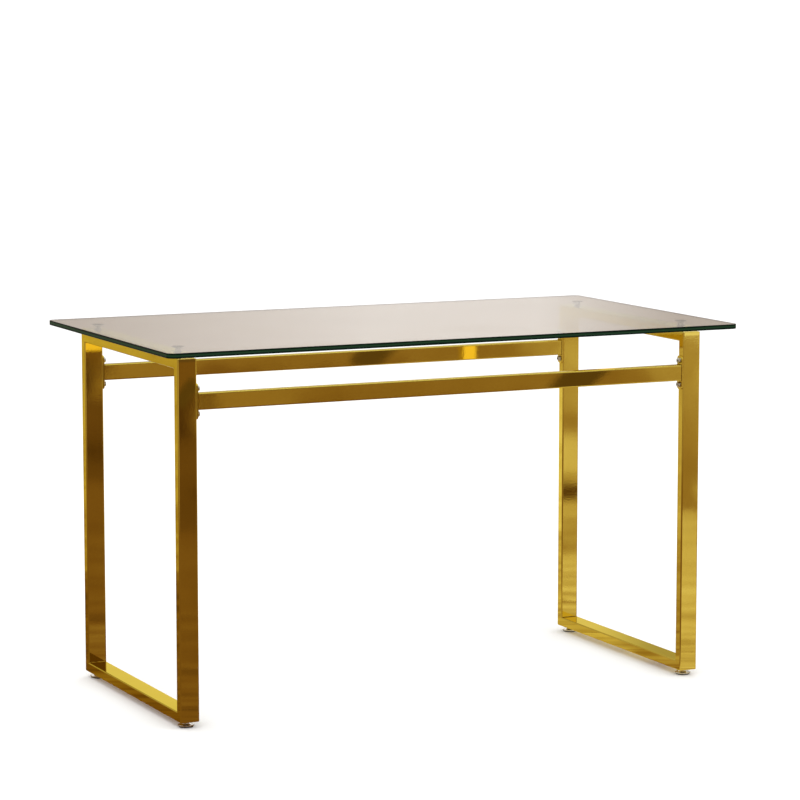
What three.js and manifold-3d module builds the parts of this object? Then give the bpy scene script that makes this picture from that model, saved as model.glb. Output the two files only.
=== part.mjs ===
// Glass-topped table on two welded end frames of flat rectangular tube, joined by two bolted rails.
// Millimetres, +Z up. Origin on the floor under the middle of the table; +X runs along its length
// and -Y is the front.
import * as THREE from 'three';
import { mergeVertices } from 'three/addons/utils/BufferGeometryUtils.js';
import Module from 'manifold-3d';

// ---- overall ----
const TABLE_HEIGHT = 750;
const GAP = 0.3;                    // space left between two pieces that touch

// ---- glass top ----
const GLASS_LENGTH = 1262;
const GLASS_DEPTH = 695;
const GLASS_THICKNESS = 10;
const GLASS_CORNER_R = 15;
const GLASS_ARRIS = 1.4;            // rounding of the polished edge
const GLASS_ARRIS_STEPS = 3;
const GLASS_LIFT = 10.5;            // height of the pads between frame and glass

// ---- end frames ----
const FRAME_LENGTH = 1168;          // outer face to outer face of the two end frames
const FRAME_DEPTH = 544;
const FRAME_BOTTOM = 12;            // held this far over the floor by the feet
const FRAME_TOP = TABLE_HEIGHT - GLASS_THICKNESS - GLASS_LIFT;
const TUBE_WIDTH = 40;              // along X
const TUBE_THICKNESS = 20;          // across, in the plane of the end frame
const TUBE_WALL = 1.5;
const TUBE_CORNER_R = 2.5;

// ---- rails ----
const RAIL_BOTTOM = 628;
const RAIL_HEIGHT = 33;
const RAIL_WIDTH = 20;
const RAIL_MIDDLE_Z = RAIL_BOTTOM + RAIL_HEIGHT / 2;
const RAIL_Y = FRAME_DEPTH / 2 - TUBE_THICKNESS / 2;

// ---- end plates on the rails ----
const PLATE_HEIGHT = 70;
const PLATE_WIDTH = 19;
const PLATE_THICKNESS = 3;
const PLATE_CORNER_R = 6;
const PLATE_HOLE_R = 3.4;

// ---- M6 bolts and their rivet nuts ----
const BOLT_PITCH = 50;              // one bolt over the rail and one under it
const BOLT_SHANK_R = 3;
const BOLT_LENGTH = 16;
const BOLT_FLANGE_R = 6.3;
const BOLT_FLANGE_T = 1;
const BOLT_HEAD_R = 5.5;
const BOLT_HEAD_H = 4.6;
const BOLT_SOCKET_R = 2.3;
const BOLT_SOCKET_DEPTH = 2.6;
const NUT_BORE_R = 3.12;
const NUT_BARREL_R = 4.6;
const NUT_HEAD_R = 5.9;
const NUT_HEAD_T = 0.9;
const NUT_BULGE_R = 6.2;
const NUT_LENGTH = 14;
const LEG_HOLE_R = 4.9;
const LEG_SINK_R = 6.3;

// ---- levelling feet ----
const FOOT_FROM_END = 22;           // foot axis to the end of the frame
const FOOT_X = FRAME_LENGTH / 2 - TUBE_WIDTH / 2;
const FOOT_Y = FRAME_DEPTH / 2 - FOOT_FROM_END;
const SOLE_R = 14.6;
const SOLE_TOP = 3.2;
const CUP_R = 16.5;
const CUP_TOP = 5.4;
const CUP_WEB_UNDER = 4.4;
const COLLAR_R = 6.5;
const COLLAR_TOP = 8.6;
const STUD_R = 4;
const STUD_ROOT_R = 3.45;
const STUD_PITCH = 1.25;
const STUD_TOP = 28;
const STUD_FLANGE_R = 6.5;
const INSERT_BORE_R = 4.14;
const INSERT_BARREL_R = 5.4;
const INSERT_FLANGE_R = 8;
const INSERT_FLANGE_T = 0.8;
const INSERT_BULGE_R = 7;
const INSERT_TOP = 24;
const BAR_HOLE_R = 5.8;

// ---- pads that hold the glass off the frame ----
const PAD_FROM_END = 47;            // pad axis to the end of the frame
const PAD_Y = FRAME_DEPTH / 2 - PAD_FROM_END;
const PAD_CUP_R = 13;               // the cup that grips the glass
const PAD_NECK_R = 5.5;
const PAD_FOOT_R = 9.5;             // the flange that sits on the bar
const PAD_STEM_R = 3.7;             // the plug through the bar's wall
const PAD_BARB_R = 4.7;
const PAD_HOLE_R = 4.1;

// ---- how finely round things are cut ----
const ROUND_STEPS = 20;
const PAD_STEPS = 16;
const FOOT_STEPS = 32;
const CORNER_STEPS = 4;
const GLASS_CORNER_STEPS = 12;

// ---- colours ----
const GOLD = { color: 0xc79a3a, metalness: 1, roughness: 0.12 };
const GLASS = { color: 0xcfe3da, metalness: 0, roughness: 0.03, transparent: true, opacity: 0.4 };
const ZINC = { color: 0xc4c4c0, metalness: 1, roughness: 0.3 };
const NICKEL = { color: 0xd2d0ca, metalness: 1, roughness: 0.15 };
const RUBBER = { color: 0x191817, metalness: 0, roughness: 0.8 };
const CLEAR_PAD = { color: 0xe4e8e4, metalness: 0, roughness: 0.4, transparent: true, opacity: 0.6 };

const SIDES = { left: -1, right: 1 };
const ENDS = { front: -1, back: 1 };
const LEVELS = { upper: 1, lower: -1 };

const wasm = await Module();
wasm.setup();

const table = new THREE.Group();
table.name = 'table';

// ---------------------------------------------------------------- helpers

// A closed three.js geometry as a solid that can be cut.
function toSolid(geometry) {
  const bare = geometry.clone();
  for (const name of Object.keys(bare.attributes)) {
    if (name !== 'position') {
      bare.deleteAttribute(name);
    }
  }
  const merged = mergeVertices(bare, 1e-4);
  const mesh = new wasm.Mesh({
    numProp: 3,
    vertProperties: new Float32Array(merged.attributes.position.array),
    triVerts: new Uint32Array(merged.index.array),
  });
  return new wasm.Manifold(mesh);
}

function toGeometry(solid) {
  const mesh = solid.getMesh();
  const geometry = new THREE.BufferGeometry();
  const positions = new Float32Array(mesh.vertProperties);
  geometry.setAttribute('position', new THREE.BufferAttribute(positions, 3));
  geometry.setIndex(new THREE.BufferAttribute(new Uint32Array(mesh.triVerts), 1));
  geometry.computeVertexNormals();
  return geometry;
}

// Puts one named piece into the table.
function addPiece(name, solid, finish) {
  const material = new THREE.MeshStandardMaterial(finish);
  const piece = new THREE.Mesh(toGeometry(solid), material);
  piece.name = name;
  table.add(piece);
}

// Rectangle with rounded corners as a list of points, centred on the origin.
function roundedRectangle(width, height, radius, steps) {
  const points = [];
  const corners = [[1, 1, 0], [-1, 1, 90], [-1, -1, 180], [1, -1, 270]];
  for (const [signX, signY, startDegrees] of corners) {
    const centreX = signX * (width / 2 - radius);
    const centreY = signY * (height / 2 - radius);
    for (let i = 0; i <= steps; i++) {
      const angle = THREE.MathUtils.degToRad(startDegrees + 90 * i / steps);
      points.push(new THREE.Vector2(
        centreX + radius * Math.cos(angle),
        centreY + radius * Math.sin(angle),
      ));
    }
  }
  return points;
}

// Straight bar of the given outline, along +Z, centred on the origin.
function prism(outline, length) {
  const shape = new THREE.Shape(outline);
  const geometry = new THREE.ExtrudeGeometry(shape, { depth: length, bevelEnabled: false });
  geometry.translate(0, 0, -length / 2);
  return toSolid(geometry);
}

// Straight rectangular tube along +Z, centred on the origin.
function hollowBar(width, thickness, length) {
  const outside = prism(roundedRectangle(width, thickness, TUBE_CORNER_R, CORNER_STEPS), length);
  const inside = prism(
    roundedRectangle(
      width - 2 * TUBE_WALL,
      thickness - 2 * TUBE_WALL,
      TUBE_CORNER_R - TUBE_WALL,
      CORNER_STEPS,
    ),
    length + 2,
  );
  return outside.subtract(inside);
}

// Solid of revolution about +Z. The profile is a closed loop of [radius, height] pairs.
function turned(profile, steps) {
  const points = profile.map(([r, z]) => new THREE.Vector2(r, z));
  points.push(points[0].clone());
  const geometry = new THREE.LatheGeometry(points, steps);
  geometry.rotateX(Math.PI / 2);
  const position = geometry.attributes.position;
  for (let i = 0; i < position.count; i++) {
    if (Math.hypot(position.getX(i), position.getY(i)) < 1e-6) {
      position.setXY(i, 0, 0);
    }
  }
  const solid = toSolid(closeSeam(geometry));
  return solid;
}

// Drops the flat triangles that a lathe leaves on its axis.
function closeSeam(geometry) {
  for (const name of ['normal', 'uv']) {
    geometry.deleteAttribute(name);
  }
  const merged = mergeVertices(geometry, 1e-4);
  const kept = [];
  const index = merged.index.array;
  for (let i = 0; i < index.length; i += 3) {
    const [a, b, c] = [index[i], index[i + 1], index[i + 2]];
    if (a !== b && b !== c && a !== c) {
      kept.push(a, b, c);
    }
  }
  merged.setIndex(kept);
  return merged;
}

// Ridges of a screw thread from one height to another, as profile points going up.
function threadProfile(crestR, rootR, pitch, fromZ, toZ) {
  const points = [];
  for (let z = fromZ; z + pitch <= toZ; z += pitch) {
    points.push([rootR, z]);
    points.push([crestR, z + pitch / 2]);
  }
  return points;
}

// Turns a piece made along +Z so that it points along +X (sign 1) or -X (sign -1).
function pointAlongX(solid, sign) {
  return solid.rotate([0, sign * 90, 0]);
}

// ---------------------------------------------------------------- glass

function glassTop() {
  const outline = roundedRectangle(
    GLASS_LENGTH - 2 * GLASS_ARRIS,
    GLASS_DEPTH - 2 * GLASS_ARRIS,
    GLASS_CORNER_R - GLASS_ARRIS,
    GLASS_CORNER_STEPS,
  );
  const geometry = new THREE.ExtrudeGeometry(new THREE.Shape(outline), {
    depth: GLASS_THICKNESS - 2 * GLASS_ARRIS,
    bevelEnabled: true,
    bevelThickness: GLASS_ARRIS,
    bevelSize: GLASS_ARRIS,
    bevelSegments: GLASS_ARRIS_STEPS,
  });
  geometry.translate(0, 0, TABLE_HEIGHT - GLASS_THICKNESS + GLASS_ARRIS);
  return toSolid(geometry);
}

// Soft clear pad that the glass rests on: a wide cup on a neck and flange, with a barbed plug
// below that holds it in the bar.
function glassPad() {
  const bottom = FRAME_TOP + GAP;
  const top = TABLE_HEIGHT - GLASS_THICKNESS - GAP;
  const underWall = FRAME_TOP - TUBE_WALL - GAP;
  return turned([
    [0, underWall - 3],
    [PAD_STEM_R - 0.6, underWall - 3],
    [PAD_BARB_R, underWall - 0.8],
    [PAD_BARB_R, underWall],
    [PAD_STEM_R, underWall],
    [PAD_STEM_R, bottom],
    [PAD_FOOT_R, bottom],
    [PAD_FOOT_R, bottom + 1.6],
    [PAD_NECK_R, bottom + 3],
    [PAD_NECK_R, bottom + 5],
    [PAD_CUP_R, top - 1.2],
    [PAD_CUP_R, top],
    [0, top],
  ], PAD_STEPS);
}

// ---------------------------------------------------------------- end frames

// Slab across X whose outline in the plane of the frame is the given list of [y, z] corners.
function slabInFrame(corners) {
  const outline = corners.map(([y, z]) => new THREE.Vector2(y, z));
  const slab = prism(outline, TUBE_WIDTH + 10);
  // prism() makes (y, z) along X and Y and the length along Z: bring them round to Y, Z and X.
  return slab.transform([0, 1, 0, 0, 0, 0, 1, 0, 1, 0, 0, 0, 0, 0, 0, 1]);
}

// A leg: tube standing on Z, both ends cut at 45 degrees for the mitred corners.
function leg(end) {
  const outer = FRAME_DEPTH / 2;
  const inner = outer - TUBE_THICKNESS;
  const slack = GAP * Math.SQRT1_2;
  const corners = [
    [end * outer, FRAME_BOTTOM + slack],
    [end * outer, FRAME_TOP - slack],
    [end * inner, FRAME_TOP - TUBE_THICKNESS - slack],
    [end * inner, FRAME_BOTTOM + TUBE_THICKNESS + slack],
  ];
  if (end > 0) {
    corners.reverse();
  }
  const tube = hollowBar(TUBE_WIDTH, TUBE_THICKNESS, FRAME_TOP - FRAME_BOTTOM)
    .translate([0, end * (outer - TUBE_THICKNESS / 2), (FRAME_TOP + FRAME_BOTTOM) / 2]);
  return tube.intersect(slabInFrame(corners.reverse()));
}

// A top or bottom bar: tube along Y, cut at 45 degrees at both ends.
function bar(outerZ, innerZ) {
  const half = FRAME_DEPTH / 2;
  const slack = GAP * Math.SQRT1_2;
  const corners = [
    [-half + slack, outerZ],
    [half - slack, outerZ],
    [half - TUBE_THICKNESS - slack, innerZ],
    [-half + TUBE_THICKNESS + slack, innerZ],
  ];
  if (innerZ < outerZ) {
    corners.reverse();
  }
  const tube = hollowBar(TUBE_WIDTH, TUBE_THICKNESS, FRAME_DEPTH)
    .rotate([90, 0, 0])
    .translate([0, 0, (outerZ + innerZ) / 2]);
  return tube.intersect(slabInFrame(corners));
}

// Countersunk hole through the inner wall of a leg for one rivet nut.
function legHole(side) {
  const cutter = turned([
    [0, -1],
    [LEG_SINK_R + 1, -1],
    [LEG_SINK_R, 0],
    [LEG_HOLE_R, NUT_HEAD_T + GAP],
    [LEG_HOLE_R, 2 * TUBE_WALL],
    [0, 2 * TUBE_WALL],
  ], ROUND_STEPS);
  const innerFaceX = FRAME_LENGTH / 2 - TUBE_WIDTH;
  return pointAlongX(cutter, side).translate([side * innerFaceX, 0, 0]);
}

// Plain round hole down through one wall of a bar.
function wallHole(radius, wallMiddleZ, steps) {
  return turned([
    [0, wallMiddleZ - TUBE_WALL],
    [radius, wallMiddleZ - TUBE_WALL],
    [radius, wallMiddleZ + TUBE_WALL],
    [0, wallMiddleZ + TUBE_WALL],
  ], steps);
}

function addEndFrame(sideName, side) {
  const middleX = side * (FRAME_LENGTH / 2 - TUBE_WIDTH / 2);
  for (const [endName, end] of Object.entries(ENDS)) {
    let piece = leg(end).translate([middleX, 0, 0]);
    for (const level of Object.values(LEVELS)) {
      const holeZ = RAIL_MIDDLE_Z + level * BOLT_PITCH / 2;
      piece = piece.subtract(legHole(side).translate([0, end * RAIL_Y, holeZ]));
    }
    addPiece(`${sideName}_${endName}_leg`, piece, GOLD);
  }
  let topBar = bar(FRAME_TOP, FRAME_TOP - TUBE_THICKNESS).translate([middleX, 0, 0]);
  let bottomBar = bar(FRAME_BOTTOM, FRAME_BOTTOM + TUBE_THICKNESS).translate([middleX, 0, 0]);
  for (const end of Object.values(ENDS)) {
    const padHole = wallHole(PAD_HOLE_R, FRAME_TOP - TUBE_WALL / 2, PAD_STEPS);
    topBar = topBar.subtract(padHole.translate([middleX, end * PAD_Y, 0]));
    const footHole = wallHole(BAR_HOLE_R, FRAME_BOTTOM + TUBE_WALL / 2, ROUND_STEPS);
    bottomBar = bottomBar.subtract(footHole.translate([side * FOOT_X, end * FOOT_Y, 0]));
  }
  addPiece(`${sideName}_top_bar`, topBar, GOLD);
  addPiece(`${sideName}_bottom_bar`, bottomBar, GOLD);
}

// ---------------------------------------------------------------- rails

const PLATE_OUTER_X = FRAME_LENGTH / 2 - TUBE_WIDTH - GAP;
const PLATE_INNER_X = PLATE_OUTER_X - PLATE_THICKNESS;
const RAIL_HALF_LENGTH = PLATE_INNER_X - GAP;

function rail() {
  return hollowBar(RAIL_HEIGHT, RAIL_WIDTH, 2 * RAIL_HALF_LENGTH)
    .rotate([0, 90, 0]);
}

// End plate standing across X, with a bolt hole over and under the rail.
function endPlate() {
  const outline = roundedRectangle(PLATE_HEIGHT, PLATE_WIDTH, PLATE_CORNER_R, CORNER_STEPS);
  let plate = prism(outline, PLATE_THICKNESS);
  for (const level of Object.values(LEVELS)) {
    const hole = turned([
      [0, -PLATE_THICKNESS],
      [PLATE_HOLE_R, -PLATE_THICKNESS],
      [PLATE_HOLE_R, PLATE_THICKNESS],
      [0, PLATE_THICKNESS],
    ], ROUND_STEPS);
    plate = plate.subtract(hole.translate([level * BOLT_PITCH / 2, 0, 0]));
  }
  return plate.rotate([0, 90, 0]);
}

// Flanged button-head bolt. Its head is at the bottom and its shank points along +Z;
// height 0 is the underside of the flange.
function bolt() {
  const body = turned([
    [0, -BOLT_HEAD_H - BOLT_FLANGE_T],
    [BOLT_HEAD_R * 0.55, -BOLT_HEAD_H - BOLT_FLANGE_T],
    [BOLT_HEAD_R * 0.85, -BOLT_HEAD_H * 0.85 - BOLT_FLANGE_T],
    [BOLT_HEAD_R, -BOLT_HEAD_H * 0.5 - BOLT_FLANGE_T],
    [BOLT_HEAD_R, -BOLT_FLANGE_T],
    [BOLT_FLANGE_R, -BOLT_FLANGE_T * 0.8],
    [BOLT_FLANGE_R, 0],
    [BOLT_SHANK_R, 0],
    [BOLT_SHANK_R, BOLT_LENGTH - 0.8],
    [BOLT_SHANK_R - 0.8, BOLT_LENGTH],
    [0, BOLT_LENGTH],
  ], ROUND_STEPS);
  const headTop = -BOLT_HEAD_H - BOLT_FLANGE_T;
  const socket = turned([
    [0, headTop - 1],
    [BOLT_SOCKET_R, headTop - 1],
    [BOLT_SOCKET_R, headTop + BOLT_SOCKET_DEPTH],
    [0, headTop + BOLT_SOCKET_DEPTH + 0.6],
  ], 6);
  return body.subtract(socket);
}

// Rivet nut: flush head at height 0, barrel pointing along +Z, swollen behind the wall.
function rivetNut() {
  const behindWall = TUBE_WALL + GAP;
  return turned([
    [NUT_BORE_R, 0.05],
    [NUT_HEAD_R, 0.05],
    [NUT_BARREL_R, NUT_HEAD_T],
    [NUT_BARREL_R, behindWall],
    [NUT_BULGE_R, behindWall + 0.7],
    [NUT_BULGE_R, behindWall + 2.2],
    [NUT_BARREL_R, behindWall + 3.2],
    [NUT_BARREL_R, NUT_LENGTH],
    [NUT_BORE_R, NUT_LENGTH],
  ], ROUND_STEPS);
}

function addRails() {
  for (const [endName, end] of Object.entries(ENDS)) {
    addPiece(`${endName}_rail`, rail().translate([0, end * RAIL_Y, RAIL_MIDDLE_Z]), GOLD);
  }
}

function addRailJoint(endName, end, sideName, side) {
  const corner = `${endName}_${sideName}`;
  const plateX = side * (PLATE_INNER_X + PLATE_OUTER_X) / 2;
  const plate = endPlate().translate([plateX, end * RAIL_Y, RAIL_MIDDLE_Z]);
  addPiece(`${corner}_end_plate`, plate, GOLD);
  for (const [levelName, level] of Object.entries(LEVELS)) {
    const y = end * RAIL_Y;
    const z = RAIL_MIDDLE_Z + level * BOLT_PITCH / 2;
    const boltX = side * (PLATE_INNER_X - GAP);
    const nutX = side * (FRAME_LENGTH / 2 - TUBE_WIDTH);
    addPiece(`${corner}_${levelName}_bolt`, pointAlongX(bolt(), side).translate([boltX, y, z]), ZINC);
    addPiece(`${corner}_${levelName}_nut`, pointAlongX(rivetNut(), side).translate([nutX, y, z]), ZINC);
  }
}

// ---------------------------------------------------------------- levelling feet

function footSole() {
  return turned([
    [0, 0],
    [SOLE_R - 1.4, 0],
    [SOLE_R - 0.4, 0.7],
    [SOLE_R, SOLE_TOP - 0.4],
    [SOLE_R - 0.5, SOLE_TOP],
    [0, SOLE_TOP],
  ], FOOT_STEPS);
}

// Pressed metal cup: rolled rim, flat web and a collar round the stud.
function footCup() {
  const lip = SOLE_R + GAP;
  return turned([
    [lip, 2.7],
    [CUP_R - 0.8, 2.7],
    [CUP_R - 0.2, 3.1],
    [CUP_R, 3.9],
    [CUP_R - 0.2, 4.7],
    [CUP_R - 0.8, 5.2],
    [CUP_R - 1.7, CUP_TOP],
    [COLLAR_R + 2.2, CUP_TOP],
    [COLLAR_R + 0.6, CUP_TOP + 0.5],
    [COLLAR_R, CUP_TOP + 1.5],
    [COLLAR_R, COLLAR_TOP - 0.4],
    [COLLAR_R - 0.4, COLLAR_TOP],
    [STUD_R + GAP, COLLAR_TOP],
    [STUD_R + GAP, CUP_WEB_UNDER],
    [lip - 0.8, CUP_WEB_UNDER],
    [lip, CUP_WEB_UNDER - 0.6],
  ], FOOT_STEPS);
}

function footStud() {
  const flangeBottom = SOLE_TOP + 0.2;
  const flangeTop = CUP_WEB_UNDER - 0.2;
  const threadStart = COLLAR_TOP - 0.6;
  return turned([
    [0, flangeBottom],
    [STUD_FLANGE_R, flangeBottom],
    [STUD_FLANGE_R, flangeTop],
    [STUD_R, flangeTop],
    [STUD_R, threadStart - 0.6],
    ...threadProfile(STUD_R, STUD_ROOT_R, STUD_PITCH, threadStart, STUD_TOP - 1),
    [STUD_ROOT_R, STUD_TOP - 0.8],
    [STUD_ROOT_R - 0.8, STUD_TOP],
    [0, STUD_TOP],
  ], ROUND_STEPS);
}

// Threaded insert: flange under the bar, barrel inside it, swollen over the wall.
function footInsert() {
  const flangeTop = FRAME_BOTTOM - GAP;
  const overWall = FRAME_BOTTOM + TUBE_WALL + GAP;
  return turned([
    [INSERT_BORE_R, flangeTop - INSERT_FLANGE_T],
    [INSERT_FLANGE_R - 0.3, flangeTop - INSERT_FLANGE_T],
    [INSERT_FLANGE_R, flangeTop - INSERT_FLANGE_T + 0.3],
    [INSERT_FLANGE_R, flangeTop],
    [INSERT_BARREL_R, flangeTop],
    [INSERT_BARREL_R, overWall],
    [INSERT_BULGE_R, overWall + 0.8],
    [INSERT_BULGE_R, overWall + 2.4],
    [INSERT_BARREL_R, overWall + 3.4],
    [INSERT_BARREL_R, INSERT_TOP],
    [INSERT_BORE_R, INSERT_TOP],
  ], ROUND_STEPS);
}

function addFoot(endName, end, sideName, side) {
  const corner = `${endName}_${sideName}`;
  const place = [side * FOOT_X, end * FOOT_Y, 0];
  addPiece(`${corner}_foot_sole`, footSole().translate(place), RUBBER);
  addPiece(`${corner}_foot_cup`, footCup().translate(place), NICKEL);
  addPiece(`${corner}_foot_stud`, footStud().translate(place), ZINC);
  addPiece(`${corner}_foot_insert`, footInsert().translate(place), ZINC);
}

// ---------------------------------------------------------------- the table

addPiece('glass_top', glassTop(), GLASS);
addRails();
for (const [sideName, side] of Object.entries(SIDES)) {
  addEndFrame(sideName, side);
  for (const [endName, end] of Object.entries(ENDS)) {
    const padX = side * (FRAME_LENGTH / 2 - TUBE_WIDTH / 2);
    addPiece(`${sideName}_${endName}_pad`, glassPad().translate([padX, end * PAD_Y, 0]), CLEAR_PAD);
    addRailJoint(endName, end, sideName, side);
    addFoot(endName, end, sideName, side);
  }
}

export default table;
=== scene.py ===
"""Glass-topped table on two gold-plated end frames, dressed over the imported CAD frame.

Metres, in the row frame: origin on the floor under the middle, +X along the length, -Y the front.
"""
import math

import bmesh
import bpy
from mathutils import Matrix, Vector


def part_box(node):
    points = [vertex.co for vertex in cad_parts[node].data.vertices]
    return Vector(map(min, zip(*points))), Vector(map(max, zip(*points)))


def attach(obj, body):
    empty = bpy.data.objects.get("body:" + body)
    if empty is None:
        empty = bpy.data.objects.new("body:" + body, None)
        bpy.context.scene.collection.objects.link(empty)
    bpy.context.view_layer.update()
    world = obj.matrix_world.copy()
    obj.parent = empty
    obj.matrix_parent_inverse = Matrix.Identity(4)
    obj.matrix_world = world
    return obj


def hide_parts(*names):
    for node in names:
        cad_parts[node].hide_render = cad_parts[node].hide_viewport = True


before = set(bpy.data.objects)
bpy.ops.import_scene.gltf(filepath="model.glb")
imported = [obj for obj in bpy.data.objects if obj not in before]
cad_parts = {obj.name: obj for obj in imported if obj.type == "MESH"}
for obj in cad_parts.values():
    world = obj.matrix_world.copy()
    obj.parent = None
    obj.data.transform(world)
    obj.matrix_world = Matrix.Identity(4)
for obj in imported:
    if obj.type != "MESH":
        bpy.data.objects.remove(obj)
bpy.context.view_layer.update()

MM = 0.001
FIXED = "frame_and_glass"  # the body that everything but the feet rides on
SIDES = {"left": -1, "right": 1}
ENDS = {"front": -1, "back": 1}
LEVELS = {"upper": 1, "lower": -1}

# ---- tube and its finish ----
TUBE_CORNER = 2.5 * MM
TUBE_WALL = 1.5 * MM
CORNER_STEPS = 8
MITRE_ROUND = 1.6 * MM  # the ground-off outer edge of a welded corner
MITRE_STEPS = 4
DRESSED = 8.0 * MM  # the outer wall is ground back over this length at a mitred corner
DRESSED_SINK = 0.14 * MM
DRESSED_GROOVE = 0.10 * MM
DRESSED_GROOVE_HALF = 0.5 * MM
FILLET = 1.3 * MM  # weld in the inside corner of an end frame
FILLET_STEPS = 6
FILLET_COLUMNS = 24
FILLET_START = 0.55  # share of its full size at either end
FILLET_GROWTH = 0.3  # gained from one column to the next
BEAD = 1.0 * MM  # weld round the end of a rail
BEAD_STEPS = 5
BEAD_COLUMNS = 132
BEAD_RIPPLES = 46
BEAD_ROUNDNESS = 0.8  # power that makes the bead's section fuller than a circle
WELD_SINK = 0.3 * MM  # how far a weld reaches into the tube behind it
TOUCH_GAP = 0.3 * MM  # the CAD leaves this between touching pieces; here they meet

# ---- plates and bolts ----
PLATE_CORNER = 6 * MM
PLATE_EDGE = 0.45 * MM
PLATE_CORNER_STEPS = 10
PLATE_HOLE = 3.4 * MM
PLATE_HOLE_SEGMENTS = 32
BOLT_PITCH = 50 * MM
BOLT_FLANGE = 6.3 * MM
BOLT_HEAD = 5.5 * MM
BOLT_SHANK = 3.0 * MM
BOLT_LENGTH = 16 * MM
HEAD_HEIGHT = 4.6 * MM
FLANGE_HEIGHT = 1.0 * MM
SOCKET_FLAT = 2.0 * MM  # half the distance across the flats of the hex socket
SOCKET_DEPTH = 2.6 * MM
HEX_FULLNESS = 1.16  # a little over a hexagon's corner distance divided by its flat distance
BOLT_SEGMENTS = 48

# ---- feet ----
FOOT_SEGMENTS = 64
STUD_SEGMENTS = 32
STUD_CREST = 4.0 * MM
STUD_ROOT = 3.4 * MM
STUD_PITCH = 1.25 * MM
STUD_ROWS_PER_PITCH = 8
THREAD_START = 7.6 * MM  # height over the floor
STUD_HEAD = 6.5 * MM  # radius of the disc that holds the stud in its cup
STUD_HEAD_BOTTOM = 3.5 * MM
STUD_HEAD_TOP = 4.3 * MM

# ---- glass ----
GLASS_CORNER = 15 * MM
GLASS_CORNER_STEPS = 24
GLASS_ARRIS = 1.2 * MM
GLASS_ARRIS_STEPS = 4

# ---- pads between the end frames and the glass: radii ----
PAD_SEGMENTS = 48
PAD_NECK = 5.5 * MM
PAD_FLANGE = 9.5 * MM
PAD_STEM = 3.7 * MM
PAD_BARB = 4.7 * MM

# ---- camera: lens, sensor width, place and heading ----
CAMERA_LENS = 142.9
CAMERA_SENSOR = 36
CAMERA_REACH = 400
CAMERA_PLACE = (-2.8104, -5.9411, 1.4373)
CAMERA_AZIMUTH = 25.48  # degrees from +Y towards +X
CAMERA_TILT = 7.38  # degrees below the horizon


# ==== mesh helpers ====


def finish_mesh(name, bm, materials, body, nodes, sharp_degrees=32):
    """Makes a piece from bm: merged, outward-facing, smooth but for edges sharper than the angle."""
    bmesh.ops.remove_doubles(bm, verts=bm.verts, dist=2e-6)
    bmesh.ops.dissolve_degenerate(bm, edges=bm.edges, dist=1e-7)
    bmesh.ops.recalc_face_normals(bm, faces=bm.faces)
    limit = math.radians(sharp_degrees)
    for face in bm.faces:
        face.smooth = True
    for edge in bm.edges:
        edge.smooth = len(edge.link_faces) == 2 and edge.calc_face_angle(0) < limit
    mesh = bpy.data.meshes.new(name)
    bm.to_mesh(mesh)
    bm.free()
    piece = bpy.data.objects.new(name, mesh)
    bpy.context.scene.collection.objects.link(piece)
    for material in materials:
        mesh.materials.append(material)
    weighted = piece.modifiers.new("flat faces stay flat", "WEIGHTED_NORMAL")
    weighted.keep_sharp = True
    weighted.weight = 80
    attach(piece, body)
    if nodes:
        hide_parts(*nodes)
    return piece


def rounded_rectangle(width, height, radius, steps):
    """Points round a rectangle with rounded corners, centred on the origin."""
    points = []
    for sign_x, sign_y, start in ((1, 1, 0), (-1, 1, 90), (-1, -1, 180), (1, -1, 270)):
        for i in range(steps + 1):
            angle = math.radians(start + 90 * i / steps)
            x = sign_x * (width / 2 - radius) + radius * math.cos(angle)
            y = sign_y * (height / 2 - radius) + radius * math.sin(angle)
            points.append((x, y))
    return points


def bridge(bm, ring_a, ring_b):
    """Joins two closed rings of the same length with faces."""
    for i in range(len(ring_a)):
        j = (i + 1) % len(ring_a)
        corners = [ring_a[i], ring_a[j], ring_b[j], ring_b[i]]
        distinct = list(dict.fromkeys(corners))
        if len(distinct) > 2:
            bm.faces.new(distinct)


def add_rings(bm, rings):
    """Adds rings of points and the faces between each ring and the next. Returns the vertex rings."""
    made = [[bm.verts.new(p) for p in ring] for ring in rings]
    for ring_a, ring_b in zip(made, made[1:]):
        bridge(bm, ring_a, ring_b)
    return made


def turned(bm, profile, segments, place, radius_at=None):
    """Solid of revolution about +Z from (radius, height) pairs; radius_at can shape each ring."""
    loops = []
    for r, z in profile:
        if r < 1e-7:
            loops.append([bm.verts.new((0, 0, z))])
            continue
        ring = []
        for i in range(segments):
            angle = 2 * math.pi * i / segments
            radius = radius_at(r, z, angle) if radius_at else r
            ring.append(bm.verts.new((radius * math.cos(angle), radius * math.sin(angle), z)))
        loops.append(ring)
    join_loops(bm, loops, segments)
    bmesh.ops.transform(bm, matrix=place, verts=bm.verts)


def turned_piece(name, profile, segments, place, material, body, node):
    """A whole piece that is one solid of revolution."""
    bm = bmesh.new()
    turned(bm, profile, segments, place)
    finish_mesh(name, bm, [material], body, [node])


def join_loops(bm, loops, segments):
    """Faces between each loop and the next. A loop is a ring of vertices, or one on the axis."""
    for a, b in zip(loops, loops[1:]):
        if len(a) == 1 and len(b) == 1:
            continue
        for i in range(segments):
            j = (i + 1) % segments
            if len(a) == 1:
                bm.faces.new((a[0], b[j], b[i]))
            elif len(b) == 1:
                bm.faces.new((a[i], a[j], b[0]))
            else:
                bm.faces.new((a[i], a[j], b[j], b[i]))


def moved(x, y, z):
    """A matrix that moves to the place."""
    return Matrix.Translation((x, y, z))


def along_x(sign, place):
    """A matrix that turns +Z into +X (sign 1) or -X (sign -1) and moves to the place."""
    return Matrix.Translation(place) @ Matrix.Rotation(sign * math.pi / 2, 4, "Y")


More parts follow.
